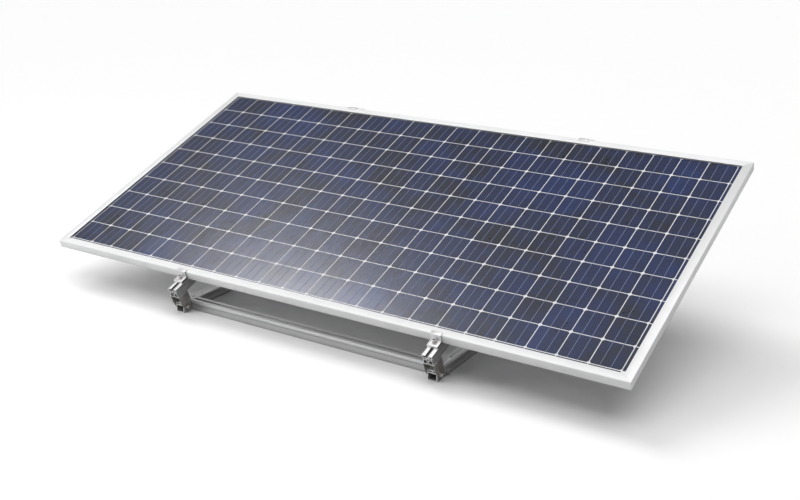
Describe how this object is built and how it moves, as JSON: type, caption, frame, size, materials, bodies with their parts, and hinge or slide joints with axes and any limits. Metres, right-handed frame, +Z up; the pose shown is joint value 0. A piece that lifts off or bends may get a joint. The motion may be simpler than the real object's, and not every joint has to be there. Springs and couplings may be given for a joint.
{
  "type": "solar panel mount",
  "caption": "Tilted frame of slotted aluminium rails that holds one framed solar module on the ground or a flat roof.",
  "frame": {"origin": "on the ground, under the centre of the part's bounding box", "axes": "+X along the module's long side, +Y from the low front edge to the high rear edge, +Z up"},
  "size_m": [2.278, 1.187, 0.5399],
  "materials": {
    "module_frame": "satin anodised",
    "corner_key": "mill finish",
    "pane": "clear, slightly reflective",
    "cells": "dark blue crystalline silicon under glass",
    "ribbons": "flat tinned ribbon",
    "back_sheet": "white film",
    "junction_box": "fine matt texture",
    "gland": "matt",
    "top_rail": "extruded, fine lengthwise lines",
    "base_rail": "extruded, fine lengthwise lines",
    "cross_rail": "extruded, fine lengthwise lines",
    "leg": "extruded",
    "bracket": "zinc plated sheet",
    "clamp": "extruded, saw cut ends",
    "bolt": "plain",
    "washer": "plain",
    "slot_nut": "plain",
    "screw": "plain"
  },
  "bodies": {
    "root": {"module_frame_front": "module_frame", "module_frame_rear": "module_frame", "module_frame_left": "module_frame", "module_frame_right": "module_frame", "frame_corner_keys": "corner_key", "glass_pane": "pane", "solar_cells": "cells", "cell_ribbons": "ribbons", "back_sheet": "back_sheet", "junction_box": "junction_box", "junction_box_lid": "junction_box", "junction_box_glands": "gland", "top_rail_left": "top_rail", "base_rail_left": "base_rail", "front_bracket_left": "bracket", "rear_leg_left": "leg", "leg_head_bracket_left": "bracket", "leg_foot_bracket_left": "bracket", "end_clamp_front_left": "clamp", "end_clamp_rear_left": "clamp", "top_rail_right": "top_rail", "base_rail_right": "base_rail", "front_bracket_right": "bracket", "rear_leg_right": "leg", "leg_head_bracket_right": "bracket", "leg_foot_bracket_right": "bracket", "end_clamp_front_right": "clamp", "end_clamp_rear_right": "clamp", "cross_rail_front": "cross_rail", "cross_rail_rear": "cross_rail", "clamp_screws": "bolt", "clamp_washers": "washer", "clamp_slot_nuts": "slot_nut", "hinge_bolts": "bolt", "hinge_nuts": "bolt", "hinge_washers": "washer", "cross_rail_screws": "bolt", "cross_rail_washers": "washer", "bracket_screws": "screw"}
  },
  "joints": []
}
